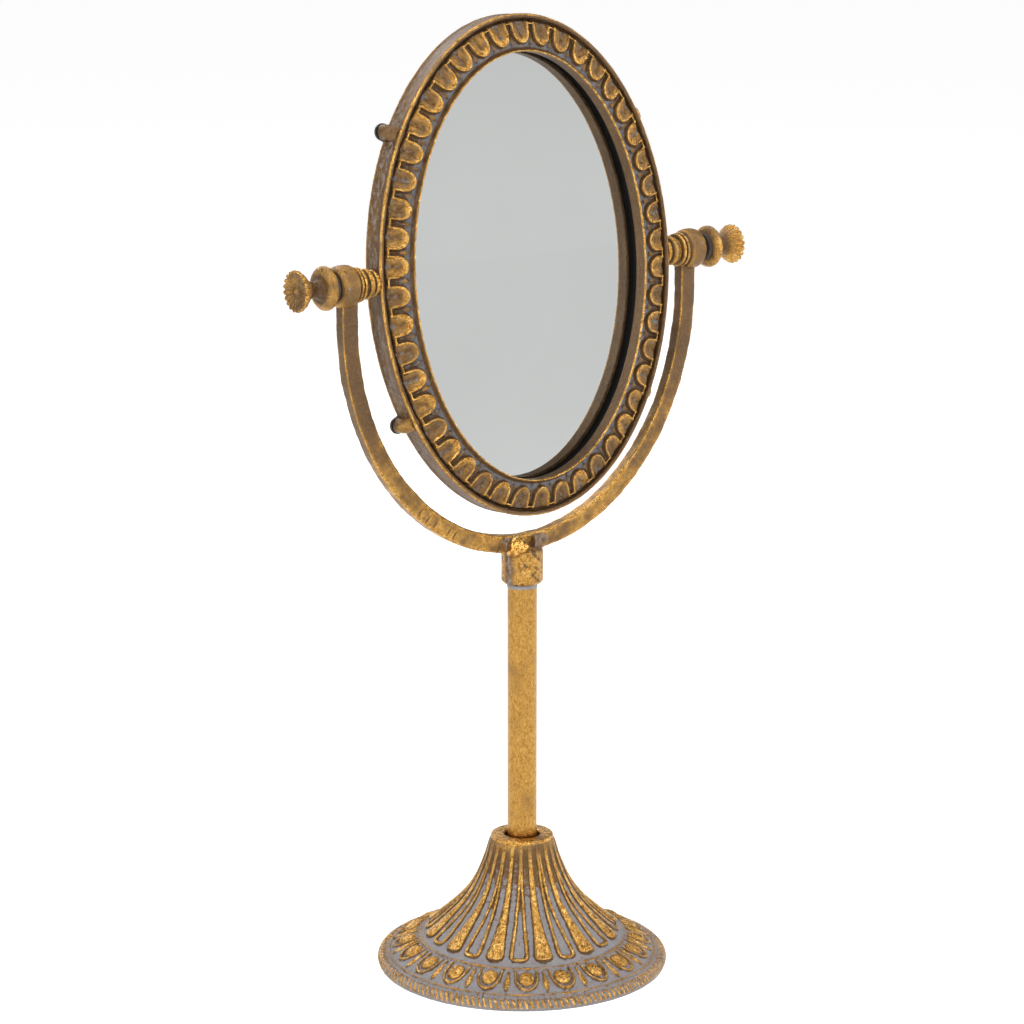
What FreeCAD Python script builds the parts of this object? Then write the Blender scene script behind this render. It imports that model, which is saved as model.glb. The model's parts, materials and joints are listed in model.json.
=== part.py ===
import FreeCAD, Part
import math
import os
import Sketcher

# Oval swivel mirror on a pedestal.  +Z is up, the mirror faces -Y, the tilt axis
# runs along X, and the origin is the middle of the foot where it rests.

Vec = FreeCAD.Vector
doc = FreeCAD.newDocument("OvalTableMirror")
sheet = doc.addObject("Spreadsheet::Sheet", "Sizes")

SIZES = [
    ("base_radius", 70.0, "round foot, outer radius"),
    ("base_height", 64.6, "foot, floor to the top of its neck"),
    ("neck_radius", 15.0, "foot, radius of the flat neck top"),
    ("line_outer_radius", 65.4, "raised line inside the rope rim"),
    ("line_inner_radius", 50.2, "raised line above the egg band"),
    ("line_outer_height", 5.6, "height of the outer raised line"),
    ("line_inner_height", 13.3, "height of the inner raised line"),
    ("line_width", 1.0, "width of the raised lines"),
    ("felt_radius", 65.0, "felt pad under the foot"),
    ("felt_thick", 1.6, "felt pad thickness"),
    ("socket_radius", 8.7, "recess in the neck for the stem"),
    ("socket_depth", 5.0, "depth of that recess"),
    ("foot_wall", 4.0, "wall of the hollow foot"),
    ("web_bottom", 50.0, "underside of the web the nut pulls on"),
    ("nut_room_radius", 13.0, "radius of the hollow under the web"),
    ("stem_radius", 7.1, "stem tube, outer radius"),
    ("stem_bore", 5.6, "stem tube, inner radius"),
    ("hub_bottom", 189.0, "underside of the hub"),
    ("ring_thick", 1.7, "thin ring between stem and hub"),
    ("hub_radius", 10.0, "hub radius"),
    ("hub_chamfer", 1.6, "chamfer under the hub"),
    ("rod_radius", 3.0, "tie rod radius"),
    ("bar_width", 8.4, "yoke bar, width in the plane of the yoke"),
    ("bar_depth", 5.8, "yoke bar, front to back"),
    ("yoke_half_span", 98.4, "stem axis to the middle of each arm"),
    ("yoke_drop", 113.0, "depth of the half-oval part of the yoke"),
    ("pivot_height", 340.3, "height of the tilt axis"),
    ("arm_straight", 18.3, "straight part of each arm below the axis"),
    ("bud_radius", 5.5, "cast bud on the hub"),
    ("mirror_lean", 4.4, "backward lean at rest, in degrees"),
    ("oval_half_width", 83.8, "frame hoop, half width"),
    ("oval_half_height", 116.3, "frame hoop, half height"),
    ("hoop_wall", 2.2, "frame hoop, wall"),
    ("hoop_half_depth", 5.8, "frame hoop, half of its depth"),
    ("band_width", 17.3, "ornament, hoop edge to inner lip"),
    ("lip_rise", 9.2, "inner lip in front of the tilt axis"),
    ("reveal_back", 1.8, "back of the ornament in front of the axis"),
    ("glass_front", -1.6, "reflecting face, in front of the axis"),
    ("glass_thick", 2.6, "mirror plate"),
    ("plate_inset", 4.6, "mirror plate edge inside the hoop edge"),
    ("lug_angle", 34.5, "oval angle of the four lugs, in degrees"),
    ("lug_radius", 3.65, "lug radius"),
    ("lug_out", 1.5, "lug centre outside the hoop"),
    ("screw_radius", 1.25, "clip screw shank"),
    ("stud_radius", 2.0, "pivot stud"),
    ("stud_end", 116.5, "stem axis to the outer end of each stud"),
    ("boss_inner", 92.0, "stem axis to the inner face of each boss"),
    ("boss_outer", 105.6, "stem axis to the outer face of each boss"),
    ("boss_radius", 9.6, "boss barrel radius"),
    ("left_bead_at", 109.9, "stem axis to the left knob's bead"),
    ("right_bead_at", 112.4, "stem axis to the right knob's bead, backed off"),
    ("bead_radius", 10.1, "knob bead radius"),
    ("fan_radius", 9.3, "knob fan radius"),
    ("fan_count", 20.0, "flutes round the fan"),
    ("washer_thick", 2.0, "friction washer"),
    ("run_gap", 0.08, "radial play of turning parts on a stud"),
    ("part_gap", 0.05, "play between fixed parts"),
]
for line, (alias, value, note) in enumerate(SIZES, 1):
    sheet.set("A%d" % line, alias)
    sheet.set("B%d" % line, "%g" % value)
    sheet.set("C%d" % line, note)
    sheet.setAlias("B%d" % line, alias)
doc.recompute()


class Dim:
    """A length that keeps its number and the sheet expression behind it."""

    def __init__(self, number, text):
        self.number = float(number)
        self.text = text

    def __add__(self, other):
        other = as_dim(other)
        return Dim(self.number + other.number, "(%s + %s)" % (self.text, other.text))

    def __sub__(self, other):
        other = as_dim(other)
        return Dim(self.number - other.number, "(%s - %s)" % (self.text, other.text))

    def __rsub__(self, other):
        return as_dim(other) - self

    def __mul__(self, factor):
        return Dim(self.number * factor, "(%s * %.6g)" % (self.text, factor))

    def __neg__(self):
        return self * -1.0

    __radd__ = __add__
    __rmul__ = __mul__


def as_dim(value):
    return value if isinstance(value, Dim) else Dim(value, "%.6g" % value)


def size(alias):
    return Dim(sheet.get(alias), "Sizes." + alias)


ZERO = Dim(0.0, "0")
gap = size("part_gap")
run = size("run_gap")
pivot = size("pivot_height")

STAND = FreeCAD.Placement()
LEAN = FreeCAD.Rotation(Vec(1, 0, 0), 90.0 - sheet.get("mirror_lean"))
HEAD = FreeCAD.Placement(Vec(0, 0, pivot.number), LEAN)
LEFT = FreeCAD.Rotation(Vec(0, 1, 0), -90.0)
RIGHT = FreeCAD.Rotation(Vec(0, 1, 0), 90.0)


def side_place(turn, along=0.0):
    """Local +Z points outward along the tilt axis, `along` mm out from the middle."""
    return FreeCAD.Placement(Vec(0, 0, pivot.number) + turn.multVec(Vec(0, 0, along)), turn)


def new_body(label, place=STAND):
    body = doc.addObject("PartDesign::Body", label)
    body.Label = label
    body.Placement = place
    return body


def origin_item(body, role):
    return [item for item in body.Origin.OriginFeatures if item.Role == role][0]


def new_sketch(body, name, role="XZ_Plane", level=None):
    sketch = body.newObject("Sketcher::SketchObject", body.Label + "_" + name)
    sketch.AttachmentSupport = [(origin_item(body, role), "")]
    sketch.MapMode = "FlatFace"
    if level is not None:
        sketch.AttachmentOffset = FreeCAD.Placement(Vec(0, 0, level.number), FreeCAD.Rotation())
        sketch.setExpression("AttachmentOffset.Base.z", level.text)
    return sketch


def hold(sketch, geo, pos, point):
    """Tie one point of a sketch to its two sheet expressions."""
    for kind, dim, axis in (("DistanceX", point[0], -2), ("DistanceY", point[1], -1)):
        if abs(dim.number) < 1e-9:
            sketch.addConstraint(Sketcher.Constraint("PointOnObject", geo, pos, axis))
            continue
        index = sketch.addConstraint(Sketcher.Constraint(kind, -1, 1, geo, pos, dim.number))
        sketch.setExpression("Constraints[%d]" % index, dim.text)


def ccw_arc(start, middle, end):
    """Counter-clockwise arc through three points, measured from the +X direction."""
    round_curve = Part.Arc(start, middle, end).toShape().Curve
    centre = round_curve.Center
    first = math.atan2(start.y - centre.y, start.x - centre.x)
    last = math.atan2(end.y - centre.y, end.x - centre.x)
    if last < first:
        last += 2 * math.pi
    return Part.ArcOfCircle(Part.Circle(centre, Vec(0, 0, 1), round_curve.Radius), first, last)


def polygon(sketch, points):
    """Closed outline through (x, y) dims; a third entry bulges the side that follows."""
    points = [(as_dim(p[0]), as_dim(p[1]), p[2] if len(p) > 2 else 0.0) for p in points]
    first = sketch.GeometryCount
    total = len(points)
    for k, (x, y, bulge) in enumerate(points):
        start = Vec(x.number, y.number, 0)
        after = points[(k + 1) % total]
        end = Vec(after[0].number, after[1].number, 0)
        if bulge:
            along = end - start
            middle = (start + end) * 0.5 + Vec(along.y, -along.x, 0).normalize() * bulge
            turn = (start, middle, end) if bulge > 0 else (end, middle, start)
            sketch.addGeometry(ccw_arc(*turn), False)
        else:
            sketch.addGeometry(Part.LineSegment(start, end), False)
    ends = []
    for k, (x, y, bulge) in enumerate(points):
        start = Vec(x.number, y.number, 0)
        forward = (sketch.getPoint(first + k, 1) - start).Length < 1e-6
        ends.append((1, 2) if forward else (2, 1))
    for k in range(total):
        after = (k + 1) % total
        joint = Sketcher.Constraint("Coincident", first + k, ends[k][1], first + after, ends[after][0])
        sketch.addConstraint(joint)
    for k, (x, y, bulge) in enumerate(points):
        hold(sketch, first + k, ends[k][0], (x, y))


def circle(sketch, x, y, radius):
    geo = sketch.addGeometry(Part.Circle(Vec(x.number, y.number, 0), Vec(0, 0, 1), radius.number))
    index = sketch.addConstraint(Sketcher.Constraint("Radius", geo, radius.number))
    sketch.setExpression("Constraints[%d]" % index, radius.text)
    hold(sketch, geo, 3, (x, y))


def oval(sketch, inset):
    """Upright ellipse, its half sizes smaller than the hoop's by `inset`."""
    half_w = size("oval_half_width").number - inset.number
    half_h = size("oval_half_height").number - inset.number
    sketch.addGeometry(Part.Ellipse(Vec(0, half_h, 0), Vec(half_w, 0, 0), Vec(0, 0, 0)), False)


def grow(body, kind, sketch, dim=None, **options):
    feature = body.newObject("PartDesign::" + kind, body.Label + "_" + kind.lower())
    feature.Profile = sketch
    if kind in ("Revolution", "Groove"):
        feature.ReferenceAxis = (sketch, ["V_Axis"])
        feature.Angle = 360.0
    if dim is not None:
        feature.Length = dim.number
        feature.setExpression("Length", dim.text)
    for key, value in options.items():
        setattr(feature, key, value)
    sketch.Visibility = False
    doc.recompute()
    return feature


def turned(label, place, points):
    """Body of revolution about its own Z from (radius, height) points."""
    body = new_body(label, place)
    sketch = new_sketch(body, "profile")
    polygon(sketch, points)
    grow(body, "Revolution", sketch)
    return body


def sweep(body, section, spine):
    pipe = body.newObject("PartDesign::AdditivePipe", body.Label + "_sweep")
    pipe.Profile = section
    pipe.Spine = (spine, ["Edge%d" % (k + 1) for k in range(len(spine.Shape.Edges))])
    doc.recompute()
    return pipe


def pattern(body, features, count):
    ring = body.newObject("PartDesign::PolarPattern", body.Label + "_ring")
    ring.Originals = features
    ring.Axis = (origin_item(body, "Z_Axis"), [""])
    ring.Angle = 360.0
    ring.Occurrences = int(round(count.number))
    body.Tip = ring
    doc.recompute()
    return ring


def slanted_plate(label, place, inset, back, front, hole=None):
    """Flat oval plate or oval ring between two local heights."""
    body = new_body(label, place)
    sketch = new_sketch(body, "outline", "XY_Plane", back)
    oval(sketch, inset)
    if hole is not None:
        oval(sketch, hole)
    grow(body, "Pad", sketch, front - back)
    return body


# ---------------------------------------------------------------- the foot
base_r = size("base_radius")
neck_r = size("neck_radius")
base_h = size("base_height")
out_r = size("line_outer_radius")
out_z = size("line_outer_height")
in_r = size("line_inner_radius")
in_z = size("line_inner_height")
felt_r = size("felt_radius")
felt_t = size("felt_thick")
rod_r = size("rod_radius")
socket_z = base_h - size("socket_depth")
room_r = size("nut_room_radius")
room_z = size("web_bottom")
half_line = size("line_width") * 0.5
skin = size("foot_wall")

base = turned("base", STAND, [
    (rod_r + gap, socket_z),
    (size("socket_radius"), socket_z),
    (size("socket_radius"), base_h),
    (neck_r, base_h),
    (neck_r + 0.3, base_h - 1.2, 0.35),
    (neck_r + (in_r - neck_r) * 0.19, in_z + (base_h - in_z) * 0.56, 0.95),
    (neck_r + (in_r - neck_r) * 0.50, in_z + (base_h - in_z) * 0.27, 0.75),
    (in_r - half_line, in_z),
    (in_r - half_line, in_z + 0.7),
    (in_r + half_line, in_z + 0.5),
    (in_r + half_line, in_z - 0.3, -0.5),
    (out_r - half_line, out_z + 0.2),
    (out_r - half_line, out_z + 0.8),
    (out_r + half_line, out_z + 0.6),
    (out_r + half_line, out_z - 0.3, -0.5),
    (base_r - 1.2, 3.6, -0.5),
    (base_r, 1.6),
    (base_r - 0.4, ZERO),
    (felt_r + gap, ZERO),
    (felt_r + gap, felt_t + gap),
    (base_r - skin * 2.0, felt_t + gap),
    (in_r - skin * 0.5, in_z - skin * 1.15),
    (neck_r + (in_r - neck_r) * 0.50, in_z + (base_h - in_z) * 0.27 - skin * 1.4),
    (neck_r + (in_r - neck_r) * 0.19 - skin * 0.4, in_z + (base_h - in_z) * 0.56 - skin * 1.3),
    (room_r, room_z),
    (rod_r + gap, room_z),
])

felt = turned("base_felt", STAND, [
    (ZERO, ZERO),
    (felt_r, ZERO),
    (felt_r, felt_t),
    (ZERO, felt_t),
])

washer_t = Dim(1.5, "1.5")
nut_t = Dim(5.0, "5")
nut_top = room_z - washer_t
washer = turned("base_washer", STAND, [
    (rod_r + gap, nut_top),
    (room_r - 3.5, nut_top),
    (room_r - 3.5, room_z),
    (rod_r + gap, room_z),
])

nut = new_body("base_nut")
nut_sketch = new_sketch(nut, "hexagon", "XY_Plane", nut_top - nut_t)
nut_r = 5.77
polygon(nut_sketch, [(nut_r * math.cos(math.radians(60 * k)), nut_r * math.sin(math.radians(60 * k)))
                     for k in range(6)])
circle(nut_sketch, ZERO, ZERO, rod_r + gap)
grow(nut, "Pad", nut_sketch, nut_t)

# ---------------------------------------------------------------- the stem
hub_z = size("hub_bottom")
stem_r = size("stem_radius")
stem_b = size("stem_bore")
ring_t = size("ring_thick")
hub_r = size("hub_radius")
bar = size("bar_width")
bar_deep = size("bar_depth")
yoke_bottom = pivot - size("arm_straight") - size("yoke_drop")
saddle_z = yoke_bottom - bar * 0.5
chamfer = size("hub_chamfer")

stem = turned("stem", STAND, [
    (stem_b, socket_z),
    (stem_r, socket_z),
    (stem_r, hub_z - ring_t),
    (stem_b, hub_z - ring_t),
])
stem_ring = turned("stem_ring", STAND, [
    (rod_r + gap, hub_z - ring_t),
    (stem_r + 0.15, hub_z - ring_t),
    (stem_r + 0.15, hub_z),
    (rod_r + gap, hub_z),
])
rod_top = saddle_z - 2.5
rod_foot = nut_top - nut_t - 3.0
tie_rod = turned("tie_rod", STAND, [
    (ZERO, rod_foot),
    (rod_r - 0.4, rod_foot),
    (rod_r, rod_foot + 0.4),
    (rod_r, rod_top),
    (ZERO, rod_top),
])

# hub with a saddle cut across it for the yoke bar
saddle_rise = Dim(0.6, "0.6")
hub = turned("yoke_hub", STAND, [
    (rod_r + gap, hub_z),
    (hub_r - chamfer, hub_z),
    (hub_r, hub_z + chamfer),
    (hub_r, saddle_z - 0.6, 0.35),
    (hub_r - 1.4, saddle_z + saddle_rise),
    (ZERO, saddle_z + saddle_rise),
    (ZERO, rod_top + gap),
    (rod_r + gap, rod_top + gap),
])
slot_sketch = new_sketch(hub, "saddle", "YZ_Plane", -(hub_r + 1.0))
half_slot = bar_deep * 0.5 + gap
polygon(slot_sketch, [
    (-half_slot, saddle_z),
    (half_slot, saddle_z),
    (half_slot, saddle_z + saddle_rise + 1.0),
    (-half_slot, saddle_z + saddle_rise + 1.0),
])
solid_before = hub.Shape.Volume
slot = grow(hub, "Pocket", slot_sketch, (hub_r + 1.0) * 2.0)
if hub.Shape.Volume > solid_before - 1.0:
    slot.Reversed = True
    doc.recompute()

# ---------------------------------------------------------------- the yoke
span = size("yoke_half_span")
drop = size("yoke_drop")
arm_top = pivot - size("boss_radius") - gap
oval_z = pivot - size("arm_straight")

yoke = new_body("yoke_bar")
spine = new_sketch(yoke, "centreline", "XZ_Plane")
spine.addGeometry(Part.LineSegment(Vec(-span.number, arm_top.number, 0), Vec(-span.number, oval_z.number, 0)))
half_oval = Part.Ellipse(Vec(0, oval_z.number - drop.number, 0), Vec(span.number, oval_z.number, 0),
                         Vec(0, oval_z.number, 0))
lowest = half_oval.parameter(Vec(0, oval_z.number - drop.number, 0))
spine.addGeometry(Part.ArcOfEllipse(half_oval, lowest - math.pi / 2, lowest + math.pi / 2))
spine.addGeometry(Part.LineSegment(Vec(span.number, oval_z.number, 0), Vec(span.number, arm_top.number, 0)))
hold(spine, 0, 1, (-span, arm_top))
hold(spine, 0, 2, (-span, oval_z))
hold(spine, 2, 1, (span, oval_z))
hold(spine, 2, 2, (span, arm_top))
section = new_sketch(yoke, "section", "XY_Plane", arm_top)
half_bar = bar * 0.5
half_deep = bar_deep * 0.5
polygon(section, [
    (-span - half_bar, -half_deep),
    (-span + half_bar, -half_deep),
    (-span + half_bar, half_deep),
    (-span - half_bar, half_deep),
])
doc.recompute()
sweep(yoke, section, spine)

# cast bud in front of the bar, standing on the hub
bud_r = size("bud_radius")
bud = turned("hub_bud", FreeCAD.Placement(
    Vec(-6.2, -bar_deep.number / 2 - gap.number, yoke_bottom.number - 0.8),
    FreeCAD.Rotation(Vec(1, 0, 0), 90.0)), [
    (ZERO, ZERO),
    (bud_r, ZERO, 0.0),
    (bud_r, 0.8, 1.1),
    (ZERO, bud_r * 0.95),
])
foot_sketch = new_sketch(bud, "foot", "XY_Plane")
foot_y = -(yoke_bottom.number - 0.8 - saddle_z.number - saddle_rise.number - gap.number)
polygon(foot_sketch, [
    (-bud_r * 1.5, -bud_r * 2.0),
    (bud_r * 1.5, -bud_r * 2.0),
    (bud_r * 1.5, foot_y),
    (-bud_r * 1.5, foot_y),
])
solid_before = bud.Shape.Volume
trim = grow(bud, "Pocket", foot_sketch, bud_r * 1.5)
if bud.Shape.Volume > solid_before - 1.0:
    trim.Reversed = True
    doc.recompute()

# ---------------------------------------------------------------- the bosses
boss_r = size("boss_radius")
boss_in = size("boss_inner")
boss_out = size("boss_outer")
stud_r = size("stud_radius")
bore_r = stud_r + run
for label, turn in (("left_boss", LEFT), ("right_boss", RIGHT)):
    turned(label, side_place(turn), [
        (bore_r, boss_in),
        (boss_r - 1.7, boss_in),
        (boss_r - 1.7, boss_in + 1.4),
        (boss_r - 1.9, boss_in + 1.7),
        (boss_r - 1.3, boss_in + 1.9, 0.35),
        (boss_r - 1.3, boss_in + 3.2),
        (boss_r - 2.0, boss_in + 3.5),
        (boss_r - 1.0, boss_in + 4.0, 0.95),
        (boss_r - 0.9, boss_out - 1.2, 0.2),
        (boss_r - 1.9, boss_out),
        (bore_r, boss_out),
    ])

# ---------------------------------------------------------------- the mirror head
half_w = size("oval_half_width")
half_h = size("oval_half_height")
wall = size("hoop_wall")
deep = size("hoop_half_depth")
band = size("band_width")
lip = size("lip_rise")
reveal = size("reveal_back")


def oval_sweep(label, points):
    """Ring of constant section carried round the oval; points are (inset, height)."""
    body = new_body(label, HEAD)
    path = new_sketch(body, "oval", "XY_Plane")
    oval(path, ZERO)
    cut = new_sketch(body, "section", "YZ_Plane")
    polygon(cut, [(half_h - p[0], as_dim(p[1])) + tuple(p[2:]) for p in points])
    doc.recompute()
    sweep(body, cut, path)
    return body


frame_band = oval_sweep("frame_band", [
    (ZERO, -deep),
    (wall, -deep),
    (wall, deep - 0.9, -0.45),
    (wall * 0.5, deep, -0.3),
    (ZERO, deep - 0.9),
])
lug_r = size("lug_radius")
lug_back = -deep + 0.4
lug_turn = math.radians(sheet.get("lug_angle"))


def lug_spots():
    """Middles of the four lugs, pushed out square to the oval."""
    x = half_w.number * math.cos(lug_turn)
    y = half_h.number * math.sin(lug_turn)
    out = Vec(math.cos(lug_turn) / half_w.number, math.sin(lug_turn) / half_h.number, 0).normalize()
    push = sheet.get("lug_out")
    spots = []
    for sx, sy in ((1, 1), (-1, 1), (-1, -1), (1, -1)):
        spots.append((sx * (x + out.x * push), sy * (y + out.y * push), Vec(sx * out.x, sy * out.y, 0)))
    return spots


lug_sketch = new_sketch(frame_band, "lugs", "XY_Plane", lug_back)
for x, y, out in lug_spots():
    circle(lug_sketch, as_dim(x), as_dim(y), lug_r)
grow(frame_band, "Pad", lug_sketch, deep * 2.0 - 2.6, Refine=False)
screw_r = size("screw_radius")
hole_sketch = new_sketch(frame_band, "lug_holes", "XY_Plane", -deep)
for x, y, out in lug_spots():
    circle(hole_sketch, as_dim(x + out.x * 0.2), as_dim(y + out.y * 0.2), screw_r + gap)
screw_depth = Dim(6.0, "6")
solid_before = frame_band.Shape.Volume
holes = grow(frame_band, "Pocket", hole_sketch, screw_depth + 0.3)
if frame_band.Shape.Volume > solid_before - 1.0:
    holes.Reversed = True
    doc.recompute()
cross = frame_band.newObject("PartDesign::SubtractiveCylinder", "frame_band_stud_holes")
cross.Radius = stud_r.number + gap.number
cross.Height = 2 * half_w.number + 10
cross.setExpression("Radius", (stud_r + gap).text)
cross.setExpression("Height", (half_w * 2.0 + 10.0).text)
cross.Placement = FreeCAD.Placement(Vec(-half_w.number - 5, 0, 0), RIGHT)
cross.setExpression("Placement.Base.x", (-(half_w + 5.0)).text)
doc.recompute()

ornament = oval_sweep("ornament_ring", [
    (wall + gap, 3.0),
    (wall + 2.2, 3.0),
    (wall + 2.2, reveal),
    (band, reveal),
    (band, lip - 0.4, -0.25),
    (band - 1.1, lip - 0.2),
    (band - 1.5, lip - 1.7),
    (band - 2.8, lip - 1.9),
    (band - 3.4, lip - 1.0),
    (wall + 2.6, lip - 3.4),
    (wall + 1.4, lip - 4.8),
    (wall + gap, lip - 5.1),
])

inset = size("plate_inset")
glass_z = size("glass_front")
glass_t = size("glass_thick")
glass_back = glass_z - glass_t
rim = slanted_plate("glass_gasket", HEAD, inset, glass_z + gap, reveal - gap, band - 1.1)
glass = slanted_plate("mirror_glass", HEAD, inset, glass_back, glass_z)
board_back = -deep + 0.85
board = slanted_plate("backing_board", HEAD, inset, board_back, glass_back - gap)
back = slanted_plate("back_plate", HEAD, wall + 0.6, -deep, board_back - gap)

# four turn-buttons hold the back, one screw each
clip_t = Dim(1.0, "1")
clip_top = -deep - gap
clips = new_body("back_clips", HEAD)
clips.AllowCompound = True
clip_sketch = new_sketch(clips, "outline", "XY_Plane", clip_top - clip_t)
clip_r = 3.9
clip_reach = 10.0
for x, y, out in lug_spots():
    middle = Vec(x + out.x * 0.2, y + out.y * 0.2, 0)
    tip = middle - out * clip_reach
    across = Vec(-out.y, out.x, 0) * clip_r
    corners = (middle + across, tip + across, tip - across, middle - across)
    clip_sketch.addGeometry(Part.LineSegment(corners[0], corners[1]))
    clip_sketch.addGeometry(ccw_arc(corners[1], tip - out * clip_r, corners[2]))
    clip_sketch.addGeometry(Part.LineSegment(corners[2], corners[3]))
    clip_sketch.addGeometry(ccw_arc(corners[3], middle + out * clip_r, corners[0]))
    circle(clip_sketch, as_dim(middle.x), as_dim(middle.y), screw_r + gap)
grow(clips, "Pad", clip_sketch, clip_t)

screw_head = clip_top - clip_t - gap
screws = []
for x, y, out in lug_spots():
    shank = Part.makeCylinder(screw_r.number, clip_t.number + screw_depth.number,
                              Vec(x + out.x * 0.2, y + out.y * 0.2, screw_head.number))
    head = Part.makeCylinder(3.1, 1.6, Vec(x + out.x * 0.2, y + out.y * 0.2, screw_head.number - 1.6))
    head = head.makeFillet(0.7, [head.Edges[2]])
    screws.append(shank.fuse(head).removeSplitter())
screw_set = doc.addObject("Part::Feature", "clip_screws")
screw_set.Label = "clip_screws"
screw_set.Shape = Part.makeCompound(screws)
screw_set.Placement = HEAD

# ---------------------------------------------------------------- pivot studs and collars
stud_end = size("stud_end")
stud_start = half_w - wall - gap
for label, turn in (("left_stud", LEFT), ("right_stud", RIGHT)):
    turned(label, side_place(turn), [
        (ZERO, stud_start - 1.2),
        (stud_r + 0.9, stud_start - 1.2),
        (stud_r + 0.9, stud_start),
        (stud_r, stud_start),
        (stud_r, stud_end - 0.5),
        (stud_r - 0.5, stud_end),
        (ZERO, stud_end),
    ])
collar_end = boss_in - 0.35
for label, turn in (("left_collar", LEFT), ("right_collar", RIGHT)):
    turned(label, side_place(turn), [
        (stud_r + gap, half_w + gap),
        (stud_r + 2.0, half_w + gap),
        (stud_r + 2.0, half_w + 0.9),
        (stud_r + 3.1, half_w + 1.2, 0.45),
        (stud_r + 3.1, half_w + 3.5),
        (stud_r + 2.5, half_w + 3.9),
        (stud_r + 3.7, half_w + 4.3, 0.55),
        (stud_r + 3.9, collar_end),
        (stud_r + gap, collar_end),
    ])

# ---------------------------------------------------------------- clamp knobs
bead_r = size("bead_radius")
fan_r = size("fan_radius")
washer_out = size("washer_thick")
for label, turn, where in (("left", LEFT, size("left_bead_at")), ("right", RIGHT, size("right_bead_at"))):
    knob = turned(label + "_knob", side_place(turn, where.number), [
        (bore_r, -2.0),
        (bead_r - 4.4, -2.0),
        (bead_r - 3.6, -1.2),
        (bead_r - 1.5, -1.9, 0.9),
        (bead_r - 1.6, 2.0, -0.45),
        (bead_r - 5.2, 2.6),
        (3.9, 5.0, -0.25),
        (3.7, 7.6, -0.9),
        (fan_r - 0.2, 13.8),
        (fan_r, 14.8),
        (fan_r - 1.4, 15.6, -0.5),
        (ZERO, 14.6),
        (ZERO, 10.0),
        (bore_r, 9.6),
    ])
    notch_sketch = new_sketch(knob, "notch", "XY_Plane", Dim(9.0, "9"))
    circle(notch_sketch, fan_r + 0.45, ZERO, Dim(1.05, "1.05"))
    solid_before = knob.Shape.Volume
    notch = grow(knob, "Pocket", notch_sketch, Dim(8.0, "8"), Reversed=True)
    pattern(knob, [notch], size("fan_count"))
    turned(label + "_washer", side_place(turn, where.number), [
        (bore_r, -2.0 - washer_out - gap),
        (bead_r - 3.4, -2.0 - washer_out - gap),
        (bead_r - 3.4, -2.0 - gap),
        (bore_r, -2.0 - gap),
    ])

# ---------------------------------------------------------------- checks and export
doc.recompute()
os.makedirs("parts", exist_ok=True)
nodes = [item for item in doc.Objects if item.TypeId == "PartDesign::Body"]
nodes.append(screw_set)
for item in doc.Objects:
    if "Invalid" in item.State or "Error" in item.State:
        raise RuntimeError("%s failed: %s" % (item.Label, item.State))
bad = [node.Label for node in nodes if node.Shape.isNull() or not node.Shape.isValid()]
if bad:
    raise RuntimeError("no sound shape: " + ", ".join(bad))
for node in nodes:
    node.Shape.exportStep("parts/%s.step" % node.Label)
    box = node.Shape.BoundBox
    print("%-16s %8.1f mm3  z %.1f..%.1f  solids %d" % (
        node.Label, node.Shape.Volume, box.ZMin, box.ZMax, len(node.Shape.Solids)))
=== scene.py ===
import bmesh
import bpy
import json
import math
import numpy as np
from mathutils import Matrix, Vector


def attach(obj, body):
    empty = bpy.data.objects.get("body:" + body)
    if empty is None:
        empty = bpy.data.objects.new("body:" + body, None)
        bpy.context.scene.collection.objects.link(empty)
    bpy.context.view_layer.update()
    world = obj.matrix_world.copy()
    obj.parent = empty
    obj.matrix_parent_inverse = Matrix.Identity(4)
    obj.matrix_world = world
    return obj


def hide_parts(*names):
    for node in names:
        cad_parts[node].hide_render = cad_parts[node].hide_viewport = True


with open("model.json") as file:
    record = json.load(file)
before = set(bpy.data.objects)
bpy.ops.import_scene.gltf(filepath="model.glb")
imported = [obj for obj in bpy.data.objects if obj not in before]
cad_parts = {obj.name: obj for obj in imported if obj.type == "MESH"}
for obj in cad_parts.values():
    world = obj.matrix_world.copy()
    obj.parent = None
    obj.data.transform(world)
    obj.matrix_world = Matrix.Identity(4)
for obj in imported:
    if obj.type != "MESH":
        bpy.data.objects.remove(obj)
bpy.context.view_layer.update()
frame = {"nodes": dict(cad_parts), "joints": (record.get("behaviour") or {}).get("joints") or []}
nodes = frame["nodes"]
scene = bpy.context.scene
MM = 0.001
# lengths below are in mm; +Z is up and the mirror faces -Y
PIVOT = next(j for j in frame["joints"] if j["name"] == "mirror_tilt")["pos_m"][2] / MM
LEAN = math.radians(4.4)       # backward lean of the mirror at rest


# ------------------------------------------------------------------ helpers
def smoothstep(low, high, value):
    t = np.clip((value - low) / (high - low), 0.0, 1.0)
    return t * t * (3.0 - 2.0 * t)


def wobble(points, wave, seed=0.0):
    """Smooth irregularity in -1..1 from a few crossed sine waves; wave is its length in mm."""
    x, y, z = points[..., 0], points[..., 1], points[..., 2]
    k = 2.0 * math.pi / wave
    total = (np.sin(k * (x + 0.6 * y) + seed) * np.sin(k * (0.8 * z - 0.3 * x) + 1.3 * seed)
             + np.sin(k * 1.7 * (y - 0.4 * z) + 2.1 + seed) * np.sin(k * 1.3 * (x + 0.5 * z) + seed * 0.7)
             + 0.6 * np.sin(k * 2.9 * (z + 0.7 * y) + 0.4 + seed) * np.sin(k * 2.3 * (x - y) + seed))
    return total / 2.6


def across(values, columns):
    """One value per row, repeated over the columns."""
    return np.repeat(np.asarray(values, float).reshape(-1, 1), columns, axis=1)


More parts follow.
